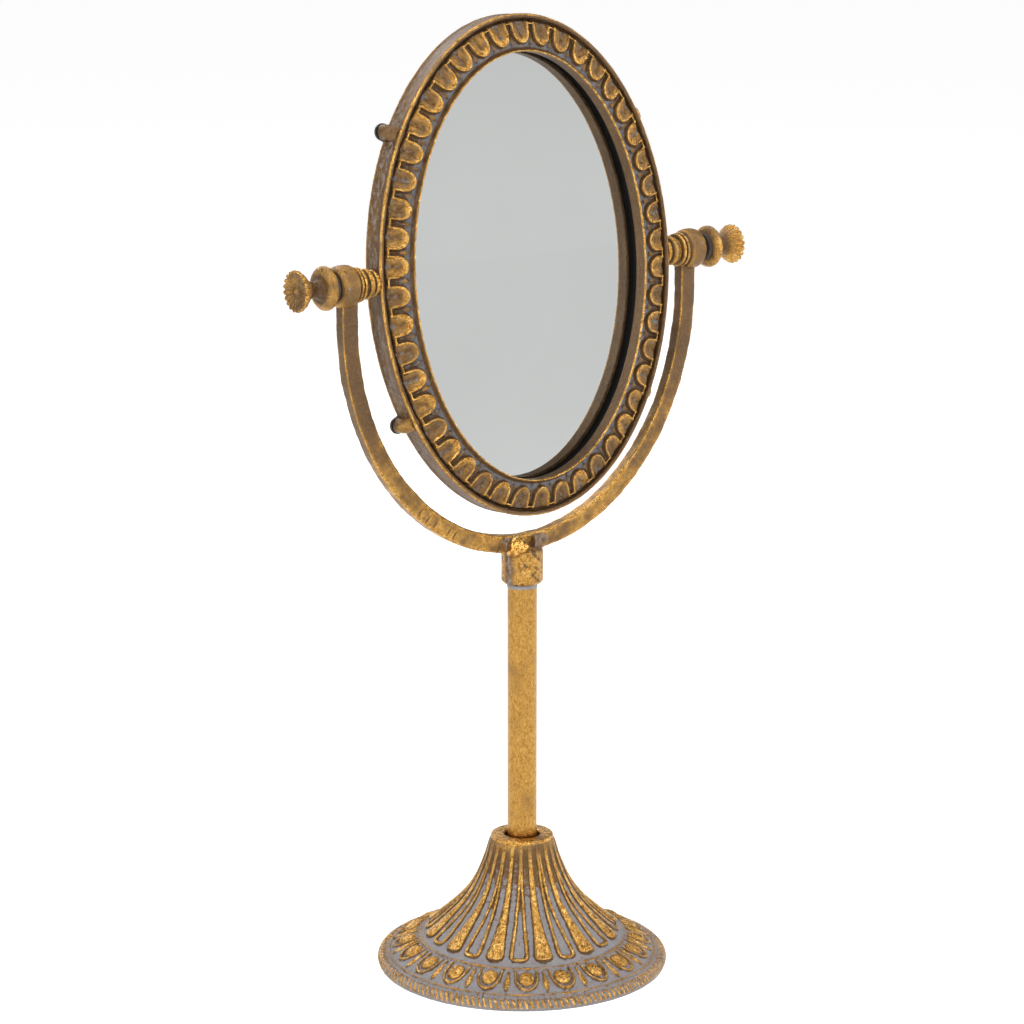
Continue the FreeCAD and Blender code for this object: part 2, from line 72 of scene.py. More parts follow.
def path_points(points, step):
    """Catmull-Rom curve through 2-D points, in even steps of arc length."""
    p = np.array(points, float)
    ext = np.vstack([2 * p[0] - p[1], p, 2 * p[-1] - p[-2]])
    out = []
    for i in range(len(p) - 1):
        a, b, c, d = ext[i:i + 4]
        t = np.linspace(0, 1, 24, endpoint=False)[:, None]
        out.append(0.5 * (2 * b + (c - a) * t + (2 * a - 5 * b + 4 * c - d) * t ** 2
                          + (3 * b - a - 3 * c + d) * t ** 3))
    out = np.vstack(out + [p[-1:]])
    s = np.concatenate([[0], np.cumsum(np.hypot(*np.diff(out, axis=0).T))])
    count = max(2, int(round(s[-1] / step)) + 1)
    even = np.linspace(0, s[-1], count)
    return np.column_stack([np.interp(even, s, out[:, 0]), np.interp(even, s, out[:, 1])]), even


def row_blur(values, spacing, reach):
    """Gaussian blur of each row round its closed length; spacing and reach in mm."""
    f = np.fft.rfftfreq(values.shape[1])
    sigma = (reach / spacing)[:, None]
    return np.fft.irfft(np.fft.rfft(values, axis=1) * np.exp(-2 * (math.pi * f[None, :] * sigma) ** 2),
                        values.shape[1], axis=1)


def cavity(values, column_gap, row_gap, reach):
    """How deep each point of a relief lies below its surroundings, in mm."""
    soft = row_blur(values, column_gap, reach)
    width = max(1, int(round(reach / row_gap)))
    weights = np.exp(-0.5 * (np.arange(-2 * width, 2 * width + 1) / width) ** 2)
    weights /= weights.sum()
    padded = np.pad(soft, ((2 * width, 2 * width), (0, 0)), mode="edge")
    soft = sum(w * padded[i:i + len(values)] for i, w in enumerate(weights))
    return soft - values


def grid_piece(name, points, marks=None, wrap_rows=False, wrap_columns=True, poles=(False, False)):
    """Mesh from a rows x columns grid of points in mm. A True pole closes that end row with a fan."""
    rows, columns = points.shape[:2]
    verts = points.reshape(-1, 3)
    index = np.arange(rows * columns).reshape(rows, columns)
    below = np.roll(index, -1, axis=0) if wrap_rows else index[1:]
    above = index if wrap_rows else index[:-1]
    if wrap_columns:
        quads = np.stack([above, np.roll(above, -1, axis=1), np.roll(below, -1, axis=1), below], -1)
    else:
        quads = np.stack([above[:, :-1], above[:, 1:], below[:, 1:], below[:, :-1]], -1)
    faces = quads.reshape(-1, 4)
    extra = []
    centres = []
    for end, row in zip(poles, (0, rows - 1)):
        if end:
            centre = len(verts) + len(centres)
            centres.append(points[row].mean(0))
            ring = index[row]
            after = np.roll(ring, -1)
            if row == 0:
                tri = np.stack([after, ring, np.full(columns, centre)], -1)
            else:
                tri = np.stack([ring, after, np.full(columns, centre)], -1)
            extra.append(tri)
    if centres:
        verts = np.vstack([verts, np.array(centres)])
    tris = np.vstack(extra) if extra else np.zeros((0, 3), int)
    mesh = bpy.data.meshes.new(name)
    mesh.vertices.add(len(verts))
    mesh.vertices.foreach_set("co", (verts * MM).astype(np.float32).ravel())
    loops = np.concatenate([faces.ravel(), tris.ravel()]).astype(np.int32)
    mesh.loops.add(len(loops))
    mesh.loops.foreach_set("vertex_index", loops)
    mesh.polygons.add(len(faces) + len(tris))
    starts = np.concatenate([np.arange(len(faces)) * 4, len(faces) * 4 + np.arange(len(tris)) * 3])
    mesh.polygons.foreach_set("loop_start", starts.astype(np.int32))
    mesh.update(calc_edges=True)
    mesh.validate()
    mesh.polygons.foreach_set("use_smooth", np.ones(len(mesh.polygons), bool))
    for label, values in (marks or {}).items():
        flat = np.asarray(values, float).reshape(-1)
        if centres:
            flat = np.concatenate([flat, np.full(len(centres), flat[-1])])
        layer = mesh.attributes.new(label, "FLOAT", "POINT")
        layer.data.foreach_set("value", flat.astype(np.float32))
    piece = bpy.data.objects.new(name, mesh)
    scene.collection.objects.link(piece)
    return piece


def face_outward(piece):
    """Turns every face of a closed mesh outward."""
    work = bmesh.new()
    work.from_mesh(piece.data)
    bmesh.ops.recalc_face_normals(work, faces=work.faces)
    work.to_mesh(piece.data)
    work.free()
    return piece


def join(name, pieces):
    bpy.ops.object.select_all(action="DESELECT")
    for piece in pieces:
        piece.select_set(True)
    bpy.context.view_layer.objects.active = pieces[0]
    bpy.ops.object.join()
    pieces[0].name = name
    pieces[0].data.name = name
    return pieces[0]


def turned_piece(name, outline, place, columns, step, relief=None, poles=(False, False)):
    """Surface of revolution. outline is (along, radius); place maps (along, u, v) to x, y, z."""
    line, s = path_points(outline, step)
    angle = np.linspace(0, 2 * math.pi, columns, endpoint=False)
    along = across(line[:, 0], columns)
    radius = across(line[:, 1], columns)
    if relief:
        along, radius = relief(along, radius, angle[None, :])
    u, v = radius * np.cos(angle), radius * np.sin(angle)
    points = place(along, u, v)
    bend = np.gradient(np.gradient(line[:, 1]))           # positive in hollows, negative on crests
    hollow = np.convolve(np.pad(bend, 4, mode="edge"), np.ones(9) / 9, mode="valid")
    # rub on the crests is wear and wax in the hollows is patina; the third mark darkens the hollows with
    # umber and painted shade
    marks = {"rub": across(np.clip(0.25 - bend * 9.0, 0, 1), columns),
             "wax": across(np.clip(hollow * 10.0, 0, 0.6), columns),
             "dirt": across(np.clip(hollow * 30.0 + 0.08, 0, 1), columns)}
    return face_outward(grid_piece(name, points, marks, wrap_rows=not any(poles), poles=poles))


# ------------------------------------------------------------------ materials
def new_material(name):
    material = bpy.data.materials.new(name)
    material.use_nodes = True
    tree = material.node_tree
    shader = tree.nodes["Principled BSDF"]
    return material, tree, shader


def node(tree, kind, **inputs):
    made = tree.nodes.new(kind)
    for key, value in inputs.items():
        if key in made.bl_rna.properties:
            setattr(made, key, value)
        else:
            made.inputs[key.replace("_", " ")].default_value = value
    return made


def math_node(tree, operation, a, b, clamp=False):
    made = tree.nodes.new("ShaderNodeMath")
    made.operation = operation
    made.use_clamp = clamp
    for slot, value in enumerate((a, b)):
        if isinstance(value, (int, float)):
            made.inputs[slot].default_value = value
        else:
            tree.links.new(value, made.inputs[slot])
    return made.outputs[0]


def plus(tree, a, b, clamp=False):
    return math_node(tree, "ADD", a, b, clamp)


def minus(tree, a, b, clamp=False):
    return math_node(tree, "SUBTRACT", a, b, clamp)


def times(tree, a, b):
    return math_node(tree, "MULTIPLY", a, b)


def ramp(tree, factor, stops):
    made = tree.nodes.new("ShaderNodeValToRGB")
    while len(made.color_ramp.elements) > 1:
        made.color_ramp.elements.remove(made.color_ramp.elements[-1])
    for i, (where, value) in enumerate(stops):
        colour = value if isinstance(value, tuple) else (value, value, value)
        stop = made.color_ramp.elements[0] if i == 0 else made.color_ramp.elements.new(where)
        stop.position = where
        stop.color = colour + (1.0,)
    tree.links.new(factor, made.inputs[0])
    return made.outputs[0]


def mix_colour(tree, factor, a, b):
    made = tree.nodes.new("ShaderNodeMix")
    made.data_type = "RGBA"
    for value, socket in ((factor, made.inputs[0]), (a, made.inputs[6]), (b, made.inputs[7])):
        if isinstance(value, tuple):
            socket.default_value = value + (1.0,)
        elif isinstance(value, (int, float)):
            socket.default_value = value
        else:
            tree.links.new(value, socket)
    return made.outputs[2]


def noise_at(tree, coords, scale, detail=6.0, roughness=0.6, stretch=(1, 1, 1), offset=0.0, distortion=0.0):
    place = tree.nodes.new("ShaderNodeMapping")
    place.inputs["Scale"].default_value = stretch
    place.inputs["Location"].default_value = (offset, offset * 0.7, -offset)
    tree.links.new(coords, place.inputs["Vector"])
    made = tree.nodes.new("ShaderNodeTexNoise")
    made.inputs["Scale"].default_value = scale
    made.inputs["Detail"].default_value = detail
    made.inputs["Roughness"].default_value = roughness
    made.inputs["Distortion"].default_value = distortion
    tree.links.new(place.outputs[0], made.inputs["Vector"])
    return made.outputs["Fac"]


BROWN = (0.090, 0.043, 0.016)
UMBER = (0.028, 0.014, 0.007)
GREY_WAX = (0.245, 0.232, 0.238)
GOLD_MIDDLE = 0.505            # middle of the noise that picks a shade of gold
# (distance from that middle, shade)
GOLDS = ((-0.165, (0.190, 0.086, 0.019)), (-0.055, (0.430, 0.218, 0.048)),
         (0.055, (0.640, 0.360, 0.090)), (0.155, (0.900, 0.580, 0.190)))


def antique_gold(name, brown=0.35, wax=0.0, attributes=True, bright=1.0, offset=0.0, grain=1.0,
                 stretch=(1, 1, 1), wax_colour=GREY_WAX, bumpy=1.0, spread=1.0):
    """Gold leaf over a cast or drawn part, rubbed on the high spots, umber and grey wax in the low ones.

    With attributes, the mesh says where: rub on the high spots, wax in the low ground, and a third mark that
    darkens creases and steep slopes with umber patina and painted shade.
    """
    material, tree, shader = new_material(name)
    coords = tree.nodes.new("ShaderNodeTexCoord").outputs["Object"]
    patches = noise_at(tree, coords, 55.0, 6, 0.62, offset=offset)
    mottle = noise_at(tree, coords, 330.0 * grain, 8, 0.68, stretch, offset + 1.0, 0.4)
    speckle = noise_at(tree, coords, 1500.0 * grain, 5, 0.6, stretch, offset + 2.0)
    if attributes:
        low = node(tree, "ShaderNodeAttribute", attribute_name="wax").outputs["Fac"]
        high = node(tree, "ShaderNodeAttribute", attribute_name="rub").outputs["Fac"]
        dirt = node(tree, "ShaderNodeAttribute", attribute_name="dirt").outputs["Fac"]
    else:
        low = high = dirt = None
    gold = ramp(tree, mottle, [(GOLD_MIDDLE + away * spread, tuple(min(1.0, c * bright) for c in shade))
                               for away, shade in GOLDS])
    # umber toning; the crease mark deepens it with umber patina and painted shade
    tone = plus(tree, times(tree, patches, 0.8),
                     times(tree, mottle, 0.7))
    tone = plus(tree, tone, brown - 0.95)
    if high is not None:
        tone = minus(tree, tone, times(tree, high, 0.24))
        tone = plus(tree, tone, times(tree, low, 0.12))
        tone = plus(tree, tone, times(tree, dirt, 0.60))
    umber = ramp(tree, tone, [(0.02, 0.0), (0.20, 0.85), (0.42, 1.0)])
    specks = ramp(tree, speckle, [(0.34, 0.9), (0.43, 0.0)])
    umber = math_node(tree, "MAXIMUM", umber, times(tree, specks, 0.55), clamp=True)
    brown_mix = mix_colour(tree, speckle, UMBER, BROWN)
    colour = mix_colour(tree, times(tree, umber, 0.90), gold, brown_mix)
    # grey wax
    level = plus(tree, times(tree, mottle, 1.5), wax - 0.92)
    level = plus(tree, level, times(tree, patches, 0.35))
    if low is not None:
        level = plus(tree, level, times(tree, low, 0.56))
        level = minus(tree, level, times(tree, high, 0.25))
        level = minus(tree, level, times(tree, dirt, 0.42))
    level = plus(tree, level, times(tree, minus(tree, speckle, 0.5), 0.55))
    grey = ramp(tree, level, [(0.26, 0.0), (0.44, 0.92), (0.7, 1.0)])
    wax_tint = mix_colour(tree, speckle, tuple(c * 0.45 for c in wax_colour),
                          tuple(c * 1.45 for c in wax_colour))
    colour = mix_colour(tree, grey, colour, wax_tint)
    soot = ramp(tree, speckle, [(0.36, 0.8), (0.46, 0.0)])
    colour = mix_colour(tree, times(tree, soot, 0.6), colour, UMBER)
    tree.links.new(colour, shader.inputs["Base Color"])
    metal = minus(tree, 1.0, times(tree, grey, 0.93))
    metal = minus(tree, metal, times(tree, umber, 0.62), clamp=True)
    tree.links.new(metal, shader.inputs["Metallic"])
    rough = plus(tree, times(tree, speckle, 0.34), 0.10)
    rough = plus(tree, rough, times(tree, grey, 0.40))
    rough = plus(tree, rough, times(tree, umber, 0.12), clamp=True)
    tree.links.new(rough, shader.inputs["Roughness"])
    shader.inputs["Specular IOR Level"].default_value = 0.42
    bump_fine = node(tree, "ShaderNodeBump", Strength=0.75, Distance=0.00035 * bumpy)
    tree.links.new(speckle, bump_fine.inputs["Height"])
    bump = node(tree, "ShaderNodeBump", Strength=0.75, Distance=0.0011 * bumpy)
    tree.links.new(mottle, bump.inputs["Height"])
    tree.links.new(bump_fine.outputs[0], bump.inputs["Normal"])
    tree.links.new(bump.outputs[0], shader.inputs["Normal"])
    return material


def plain_surface(name, dark, light, rough, metallic=0.0, scale=300.0, bump=0.0001, stretch=(1, 1, 1),
                  specular=0.5):
    """Even material with a little variation in colour, gloss and height."""
    material, tree, shader = new_material(name)
    coords = tree.nodes.new("ShaderNodeTexCoord").outputs["Object"]
    grain = noise_at(tree, coords, scale, 7, 0.6, stretch)
    cloud = noise_at(tree, coords, scale * 0.08, 4, 0.5, offset=0.4)
    both = plus(tree, times(tree, grain, 0.6), times(tree, cloud, 0.4))
    tree.links.new(ramp(tree, both, [(0.32, dark), (0.68, light)]), shader.inputs["Base Color"])
    gloss = ramp(tree, both, [(0.3, rough[0]), (0.7, rough[1])])
    tree.links.new(gloss, shader.inputs["Roughness"])
    shader.inputs["Metallic"].default_value = metallic
    shader.inputs["Specular IOR Level"].default_value = specular
    made = node(tree, "ShaderNodeBump", Strength=0.5, Distance=bump)
    tree.links.new(grain, made.inputs["Height"])
    tree.links.new(made.outputs[0], shader.inputs["Normal"])
    return material


foot_gold = antique_gold("foot_gold", brown=0.33, wax=0.02, offset=0.3, grain=1.5)
ring_gold = antique_gold("ring_gold", brown=0.38, wax=0.02, offset=1.7, grain=1.5,
                         wax_colour=(0.150, 0.148, 0.160))
hoop_gold = antique_gold("hoop_gold", brown=0.42, wax=0.04, offset=2.9, grain=1.5, stretch=(1, 1, 0.6),
                         wax_colour=(0.205, 0.172, 0.155))
bar_gold = antique_gold("bar_gold", brown=0.30, wax=-0.06, bright=0.95, offset=4.1, grain=2.0, bumpy=0.5,
                        spread=1.15)
stem_gold = antique_gold("stem_gold", brown=0.17, wax=-0.20, attributes=False, bright=0.82, offset=5.3,
                         grain=2.6, stretch=(1, 1, 0.6), bumpy=0.25, spread=1.9)
fitting_gold = antique_gold("fitting_gold", brown=0.40, wax=0.14, offset=6.7, grain=1.4)
hub_gold = antique_gold("hub_gold", brown=0.28, wax=0.0, bright=0.88, offset=8.2, grain=2.2, bumpy=0.5)
# the bud's gold raised to 1.12 and barely toned: rubbed wear together with a painted highlight
bud_gold_and_highlight = antique_gold("bud_gold_and_highlight", brown=0.06, wax=-0.10, offset=9.4, bright=1.12, grain=1.2, bumpy=0.5)


# ------------------------------------------------------------------ foot
NECK = [(8.7, 64.1), (9.2, 64.6), (12.0, 64.7), (14.4, 64.6), (15.0, 64.0), (15.25, 62.8)]
FLARE = [(15.25, 62.8), (16.1, 60), (17.4, 54.5), (19.3, 49), (21.8, 43), (25, 37), (29.5, 31), (36, 24.5),
         (43, 18.3), (50.2, 13.3), (58, 9.7), (64.6, 5.9), (66.4, 4.75), (67.4, 5.0), (68.7, 4.7),
         (69.6, 3.7), (69.9, 2.3), (69.8, 1.0), (69.4, 0.15)]
UNDER = [(69.0, 0.0), (67.0, 0.0), (65.1, 0.0), (65.1, 0.8), (65.1, 1.65), (60, 1.65), (40, 1.65), (20, 1.65),
         (3.3, 1.65), (3.3, 30), (3.3, 59.6), (6.0, 59.6), (8.2, 59.6), (8.7, 60.2), (8.7, 62.2)]
FOOT_STEP = 0.42               # row spacing on the flare
NECK_EDGE = 1.8                # arc length from the neck edge to the first row
FLUTES, EGGS, ROPE_RIBS = 12, 20, 156
TONGUE_TURN, LOOP_TURN, EGG_TURN = -23.9, -38.9, -35.1         # degrees to the first of each
COLUMNS = ROPE_RIBS * 10
upper, _ = path_points(NECK, 0.5)
flare, flare_s = path_points(FLARE, FOOT_STEP)
flare_s = flare_s + NECK_EDGE
turn = np.linspace(0, 2 * math.pi, COLUMNS, endpoint=False)   # 0 looks to -Y, +90 deg to +X
tangent = np.gradient(flare, axis=0)
tangent /= np.linalg.norm(tangent, axis=1)[:, None]
normal = np.column_stack([-tangent[:, 1], tangent[:, 0]])     # out of the metal
S = across(flare_s, COLUMNS)
R = across(flare[:, 0], COLUMNS)
TH = np.ones((len(flare), 1)) * turn[None, :]
column_gap = 2 * math.pi / COLUMNS


def sector(angle_deg, count):
    """Signed angle from the nearest of count even spokes, the first at angle_deg, and the spoke's number."""
    pitch = 2 * math.pi / count
    local = (TH - math.radians(angle_deg)) / pitch
    number = np.round(local)
    return (local - number) * pitch, number.astype(int) % count


def jitter(number, seed, amount):
    return amount * np.sin(number * 12.9898 + seed * 78.233) * np.cos(number * 4.1 + seed)


def dome(q, power=0.5):
    return np.clip(1.0 - q * q, 0, 1) ** power


height = np.zeros_like(S)
mask = np.zeros_like(S)      # 1 on raised gold
# solid tongues
d, k = sector(TONGUE_TURN, FLUTES)
half = np.interp(S, [0, 10.4, 20.8, 31, 41.6, 48, 52, 57, 60],
                 [1.05, 1.10, 1.30, 1.65, 2.35, 3.05, 3.7, 4.4, 4.55])
half = half * (1 + jitter(k, 1.0, 0.05))
end = np.clip((S - 56.2) / (4.1 + jitter(k, 2.0, 0.25)), 0, 1)
half_end = half * np.sqrt(np.clip(1 - end ** 3.4, 0, 1))
x = np.abs(d) * R
q = x / np.maximum(half_end, 1e-3)
rise = np.interp(S, [0, 4, 12, 30, 50, 60], [0.0, 0.30, 0.75, 1.15, 1.75, 1.9])
groove = 0.22 * np.exp(-((x - 0.25 * half) / (0.22 * half + 0.05)) ** 2) * smoothstep(46, 56, S)
tongue = rise * dome(q, 0.42) - groove * (q < 1)
height = np.maximum(height, np.where(q < 1, tongue, 0))
mask = np.maximum(mask, np.where(q < 1, 1.0 - 0.35 * smoothstep(0.55, 1.0, q), 0))
# loops
d, k = sector(LOOP_TURN, FLUTES)
merge = jitter(k, 3.0, 0.5)
half = np.interp(S, [0, 10.4, 20.8, 26, 31, 41.6, 52, 58.3, 60],
                 [1.05, 1.20, 1.50, 1.75, 2.1, 2.95, 4.1, 4.7, 4.75])
half = half * (1 + jitter(k, 4.0, 0.05)) + merge * smoothstep(34, 14, S) * 0.5
end = np.clip((S - 56.0) / 4.4, 0, 1)
half_end = half * np.sqrt(np.clip(1 - end ** 3.0, 0, 1))
x = np.abs(d) * R
wire = np.interp(S, [0, 20, 60], [0.66, 0.74, 1.0])
edge = half_end - x                                   # inside is positive
tail = np.where(S > 55.6, (60.3 - S) * 0.9, 99.0)
edge = np.minimum(edge, tail)
ridge = dome(np.clip((edge - wire) / wire, -1, 1), 0.5)
rise = np.interp(S, [0, 4, 12, 30, 60], [0.0, 0.28, 0.62, 0.95, 1.15])
inner = (edge > wire) * 0.12
height = np.maximum(height, np.maximum(rise * ridge * (edge > 0), inner))
mask = np.maximum(mask, ridge * (edge > 0))
# neck keeps its gold
mask = np.maximum(mask, smoothstep(9, 1, S) * 0.9)
# ring lines
for at, half_line, rise in ((63.9, 0.75, 0.75), (80.35, 0.7, 0.8)):
    line = dome(np.clip((S - at) / half_line, -1, 1), 0.6)
    height = np.maximum(height, rise * line)
    mask = np.maximum(mask, line * 0.55)
# eggs in their cups
d, k = sector(EGG_TURN, EGGS)
x = d * R * (1 + jitter(k, 5.0, 0.03)) + jitter(k, 6.0, 0.15)
y = S - 70.4 - jitter(k, 7.0, 0.2)
q = np.sqrt((np.abs(x) / 3.85) ** 2.2 + (np.abs(y) / 4.7) ** 2.2)
egg = 1.75 * dome(np.clip(q, 0, 1), 0.5)
pocks = 0.16 * np.sin(x * 2.1 + k * 1.7) * np.sin(y * 1.8 + k * 2.3)
height = np.maximum(height, np.where(q < 1, egg + pocks * dome(np.clip(q, 0, 1)), 0))
mask = np.maximum(mask, (q < 1) * (1.0 - 0.3 * smoothstep(0.6, 1, q)))
cup = np.where(y > 0, np.sqrt((x / 5.15) ** 2 + (y / 7.1) ** 2), np.abs(x) / (5.15 + 0.03 * y))
away = (cup - 1) * 5.4
wire = dome(np.clip(away / 0.72, -1, 1), 0.55) * smoothstep(64.9, 65.6, S)
height = np.maximum(height, 1.15 * wire)
mask = np.maximum(mask, wire * 0.85)
# darts
d, k = sector(EGG_TURN + 180.0 / EGGS, EGGS)
x = np.abs(d) * R
half = np.interp(S, [65.6, 66.4, 70, 74.2, 76.2, 79.0], [0.0, 0.65, 1.05, 2.1, 1.7, 0.0])
q = x / np.maximum(half, 1e-3)
dart = 1.25 * np.clip(1 - q, 0, 1) ** 0.7
height = np.maximum(height, dart)
mask = np.maximum(mask, np.clip((1 - q) * 2.2, 0, 1) * 0.9)
# rope rim
twist = (S - 82.6) / 5.8
lay = 0.5 + 0.5 * np.cos(ROPE_RIBS * TH - twist * 5.2)
rim = smoothstep(81.9, 82.7, S) * smoothstep(89.2, 88.0, S)
height = height + rim * (lay ** 0.7 * 0.75 - 0.35)
mask = np.maximum(mask * (1 - rim), rim * (0.05 + 0.95 * smoothstep(0.35, 0.75, lay)))

ground = np.stack([R * np.sin(TH), -R * np.cos(TH), across(flare[:, 1], COLUMNS)], -1)
# crease mark: painted shade with umber in the sunk ground and on steep slopes, plus brown toning on the flat
# ground near the neck
sunk = cavity(height, flare[:, 0] * column_gap, FOOT_STEP, 0.75)
dirt = smoothstep(0.08, 0.42, sunk) * (0.95 - 0.45 * smoothstep(62, 65, S))
slope = np.hypot(np.gradient(height, axis=1) / (R * column_gap), np.gradient(height, axis=0) / FOOT_STEP)
dirt = np.maximum(dirt, smoothstep(0.9, 2.4, slope) * (0.8 - 0.35 * smoothstep(62, 65, S)))
dirt = np.maximum(dirt, (1 - mask) * smoothstep(40, 8, S) * 0.30)
height = height + 0.10 * wobble(ground, 9.0, 0.4) + 0.05 * wobble(ground, 3.1, 2.2)
rr = R + normal[:, 0:1] * height
zz = flare[:, 1:2] + normal[:, 1:2] * height
zz = np.maximum(zz, 0.0)


def hoops(outline):
    """Plain rings of the foot through (radius, height) points."""
    return np.stack([np.stack([r * np.sin(turn), -r * np.cos(turn), np.full(COLUMNS, z)], -1)
                     for r, z in outline])


top_rows = hoops(upper[:-1])
side_rows = np.stack([rr * np.sin(TH), -rr * np.cos(TH), zz], -1)
under_rows = hoops(UNDER)
wax = (1.0 - mask) * (0.25 + 0.75 * smoothstep(4, 34, S))
rub = np.clip(mask * smoothstep(0.2, 1.0, height), 0, 1)
rub = np.maximum(rub, rim * smoothstep(0.5, 0.9, lay))
points = np.concatenate([top_rows, side_rows, under_rows])
# the underside and its hollow take the full crease mark: painted shade under the foot
marks = {"wax": np.concatenate([np.zeros(top_rows.shape[:2]), wax, np.zeros(under_rows.shape[:2])]),
         "rub": np.concatenate([np.full(top_rows.shape[:2], 0.7), rub, np.zeros(under_rows.shape[:2])]),
         "dirt": np.concatenate([np.zeros(top_rows.shape[:2]), dirt, np.ones(under_rows.shape[:2])])}
foot = face_outward(grid_piece("foot_casting", points, marks, wrap_rows=True))
foot.data.materials.append(foot_gold)


# ------------------------------------------------------------------ mirror head, in the plane of the oval
HALF_W, HALF_H = 83.8, 116.3
fine = np.linspace(0, 2 * math.pi, 20001)
steps = np.hypot(np.diff(HALF_W * np.sin(fine)), np.diff(HALF_H * np.cos(fine)))
arc = np.concatenate([[0], np.cumsum(steps)])
ROUND = arc[-1]


def head_points(s, inset, lift):
    """Points at arc length s round the hoop, inset from its edge, lifted towards the viewer."""
    t = np.interp(s % ROUND, arc, fine)
    nx, ny = np.sin(t) / HALF_W, np.cos(t) / HALF_H
    size = np.hypot(nx, ny)
    u = HALF_W * np.sin(t) - nx / size * inset
    v = HALF_H * np.cos(t) - ny / size * inset
    return head_place(u, v, lift)


def head_place(u, v, lift):
    y = -lift * math.cos(LEAN) + v * math.sin(LEAN)
    z = PIVOT + v * math.cos(LEAN) + lift * math.sin(LEAN)
    return np.stack([u + 0 * lift, y, z], -1)


# hoop: (inset, lift) round its section
HOOP = np.array([(0.0, -5.8), (0.0, -5.2), (0.05, -4.7), (0.32, -4.1), (0.36, -2.0), (0.36, 0.0), (0.36, 2.0),
                 (0.30, 3.1), (0.05, 3.7), (-0.05, 4.4), (0.0, 5.0), (0.25, 5.5), (0.7, 5.82), (1.2, 5.88),
                 (1.7, 5.7), (2.05, 5.3), (2.2, 4.7), (2.2, 3.6), (2.2, 0.0), (2.2, -4.0), (2.2, -5.5),
                 (2.0, -5.8), (1.0, -5.8)])
columns = 1400
s = np.linspace(0, ROUND, columns, endpoint=False)
dense, at = [], []
closed = np.vstack([HOOP, HOOP[:1]])
for a, b in zip(closed[:-1], closed[1:]):
    n = max(1, int(np.hypot(*(b - a)) / 0.5))
    for j in range(n):
        dense.append(a + (b - a) * j / n)
dense = np.array(dense)
inset = across(dense[:, 0], columns)
lift = across(dense[:, 1], columns)
along = s[None, :] * np.ones((len(dense), 1))
points = head_points(along, inset, lift)
rough_cast = wobble(points, 14.0, 1.1) * 0.10 + wobble(points, 4.3, 0.3) * 0.05
points = head_points(along, inset + rough_cast, lift + 0.5 * rough_cast)
w0, h0 = dense[:, 0:1], dense[:, 1:2]
wax = np.where((w0 < 0.5) & (h0 > -4.6) & (h0 < 3.4), 0.46, 0.0) + np.where(w0 > 2.1, 0.7, 0.0)
rub = np.where((h0 > 4.9) & (w0 < 1.0), 1.0, 0.0) + np.where((h0 < -4.9) & (w0 < 1.0), 0.8, 0.0)
# crease mark: painted shade with umber on the band's inner wall, the inner side of its front lip, its back,
# and the groove under the front lip
dirt = np.where((w0 > 1.1), 0.95, 0.0) + np.where((w0 < 0.4) & (h0 > 2.8) & (h0 < 4.5), 0.7, 0.12)
shade = np.ones((1, columns))
hoop = grid_piece("frame_hoop", points, {"wax": wax * shade, "rub": np.clip(rub, 0, 1) * shade,
                                        "dirt": np.clip(dirt, 0, 1) * shade}, wrap_rows=True)
face_outward(hoop)
parts = [hoop]
LUG_TURN = math.radians(34.5)
LUG_OUT = 1.5                  # lug centre outside the hoop
LUG = [(-5.4, 0.4), (-5.4, 2.9), (-5.2, 3.5), (-4.5, 3.7), (-2.0, 3.55), (0.5, 3.65), (2.4, 3.6), (3.5, 3.2),
       (4.1, 2.3), (4.0, 1.5), (3.6, 0.8), (3.5, 0.3)]
LUG_COLUMNS = 56
for sx, sy in ((1, 1), (-1, 1), (-1, -1), (1, -1)):
    cx, cy = HALF_W * math.cos(LUG_TURN), HALF_H * math.sin(LUG_TURN)
    nx, ny = math.cos(LUG_TURN) / HALF_W, math.sin(LUG_TURN) / HALF_H
    size = math.hypot(nx, ny)
    nx, ny = nx / size, ny / size
    cu, cv = sx * (cx + nx * LUG_OUT), sy * (cy + ny * LUG_OUT)
    line, _ = path_points(LUG, 0.35)
    angle = np.linspace(0, 2 * math.pi, LUG_COLUMNS, endpoint=False)
    radius = line[:, 1:2] * (1 + 0.04 * np.sin(3 * angle + sx + 2 * sy) * np.ones((len(line), 1)))
    tuck = 2.6 * smoothstep(-2.0, 4.0, line[:, 0:1])
    u = cu + radius * np.cos(angle) - sx * nx * tuck
    v = cv + radius * np.sin(angle) - sy * ny * tuck
    # the crease mark rises towards the lug's back end, darkening it
    lug = grid_piece("lug", head_place(u, v, across(line[:, 0], LUG_COLUMNS)),
                     {"wax": np.full(radius.shape, 0.1), "rub": np.full(radius.shape, 0.6),
                      "dirt": 0.25 + 0.5 * smoothstep(-1.0, -5.0, line[:, 0:1]) * np.ones(radius.shape)},
                     poles=(True, True))
    parts.append(face_outward(lug))
hoop = join("frame_hoop", parts)
hoop.data.materials.append(hoop_gold)

# ornament
LEAVES = 46
PITCH = ROUND / LEAVES
LEAF_COLUMNS = 48
LEAF_STEP = 0.21               # row spacing across the leaves
FLOOR = -2.0                   # sunk ground between the leaves, below their crest
BACK = [(17.32, 7.6), (17.34, 6.6), (17.34, 5.2), (17.34, 3.8), (17.34, 2.6), (17.3, 1.85), (14.0, 1.85),
        (9.0, 1.85), (4.5, 1.85), (4.4, 3.0), (2.3, 3.0), (2.3, 3.2)]
columns = LEAVES * LEAF_COLUMNS
s = np.linspace(0, ROUND, columns, endpoint=False)
front = np.concatenate([np.linspace(2.3, 3.5, 5), np.arange(3.7, 15.3, LEAF_STEP),
                        np.linspace(15.4, 17.3, 12)])
W = across(front, columns)
along = s[None, :] * np.ones_like(W)
cell = s / PITCH
number = np.round(cell).astype(int) % LEAVES
U = ((cell - np.round(cell)) * PITCH)[None, :] * np.ones((len(front), 1))
K = number[None, :] * np.ones((len(front), 1))


def vary(seed, amount):
    return amount * np.sin(K * 12.9898 + seed * 78.233) * np.cos(K * 4.1 + seed)


